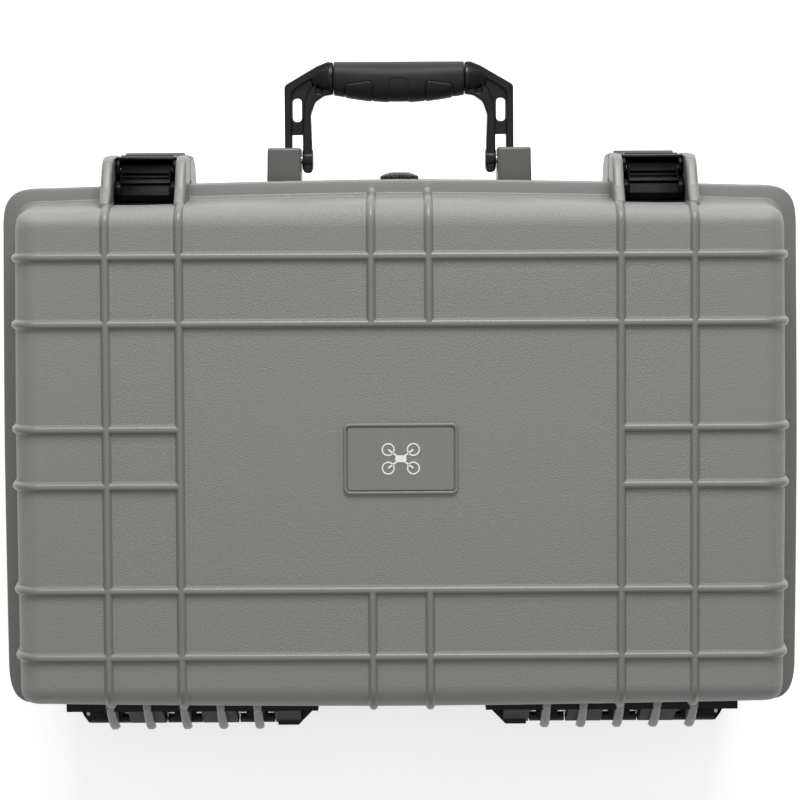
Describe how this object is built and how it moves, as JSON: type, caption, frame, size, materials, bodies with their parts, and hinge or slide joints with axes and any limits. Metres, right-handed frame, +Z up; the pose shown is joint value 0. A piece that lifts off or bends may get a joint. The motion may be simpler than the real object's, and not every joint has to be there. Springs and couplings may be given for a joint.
{
  "type": "drone carrying case",
  "caption": "Hard moulded carrying case for a drone, with hinged lid, two-part latches, folding handle, purge valve and fitted foam.",
  "frame": {"origin": "middle of the pad under the base, on the surface that the closed case lies on", "axes": "+X along the case's length, -Y to the front with handle and latches, +Y to the hinges, +Z up through the lid"},
  "size_m": [0.525, 0.4444, 0.2025],
  "materials": {
    "shell": "satin, fine pebble grain",
    "plate": "satin",
    "black_plastic": "satin",
    "grip_rubber": "soft matte",
    "seal": "matte",
    "steel": "drawn",
    "foam": "open cell, dark"
  },
  "bodies": {
    "base": {"base_shell": "shell", "hinge_leaf_base_left": "black_plastic", "hinge_leaf_base_right": "black_plastic", "hinge_pin_left": "steel", "hinge_pin_right": "steel", "handle_pin_left": "steel", "handle_pin_right": "steel", "valve_body": "black_plastic", "valve_seal": "seal", "valve_nut": "black_plastic", "base_foam_tray": "foam", "base_foam_pad": "foam"},
    "lid": {"lid_shell": "shell", "lid_gasket": "seal", "name_plate": "plate", "hinge_leaf_lid_left": "black_plastic", "hinge_leaf_lid_right": "black_plastic", "latch_pivot_pin_left": "steel", "latch_pivot_pin_right": "steel", "lid_foam": "foam"},
    "link_left": {"latch_link_left": "black_plastic"},
    "link_right": {"latch_link_right": "black_plastic"},
    "lever_left": {"latch_lever_left": "black_plastic", "latch_lever_pin_left": "steel"},
    "lever_right": {"latch_lever_right": "black_plastic", "latch_lever_pin_right": "steel"},
    "handle": {"handle_frame": "black_plastic", "handle_grip": "grip_rubber"},
    "valve": {"valve_knob": "black_plastic"}
  },
  "joints": [
    {"name": "lid_hinge", "type": "hinge", "parent": "base", "child": "lid", "pos_m": [0, 0.1775, 0.14], "axis": [-1, 0, 0], "range_deg": [0, 105]},
    {"name": "link_hinge_left", "type": "hinge", "parent": "lid", "child": "link_left", "pos_m": [-0.1658, -0.1705, 0.158], "axis": [-1, 0, 0], "range_deg": [0, 45]},
    {"name": "link_hinge_right", "type": "hinge", "parent": "lid", "child": "link_right", "pos_m": [0.1658, -0.1705, 0.158], "axis": [-1, 0, 0], "range_deg": [0, 45]},
    {"name": "lever_hinge_left", "type": "hinge", "parent": "link_left", "child": "lever_left", "pos_m": [-0.1658, -0.1845, 0.151], "axis": [-1, 0, 0], "range_deg": [0, 60]},
    {"name": "lever_hinge_right", "type": "hinge", "parent": "link_right", "child": "lever_right", "pos_m": [0.1658, -0.1845, 0.151], "axis": [-1, 0, 0], "range_deg": [0, 60]},
    {"name": "handle_hinge", "type": "hinge", "parent": "base", "child": "handle", "pos_m": [0, -0.1914, 0.118], "axis": [1, 0, 0], "range_deg": [0, 90]},
    {"name": "valve_turn", "type": "hinge", "parent": "base", "child": "valve", "pos_m": [0, -0.18, 0.114], "axis": [0, -1, 0], "range_deg": [0, 180]}
  ],
  "couplings": [
    {"joint": "link_hinge_left", "follows": "lever_hinge_left", "ratio": 0.75},
    {"joint": "link_hinge_right", "follows": "lever_hinge_right", "ratio": 0.75}
  ]
}
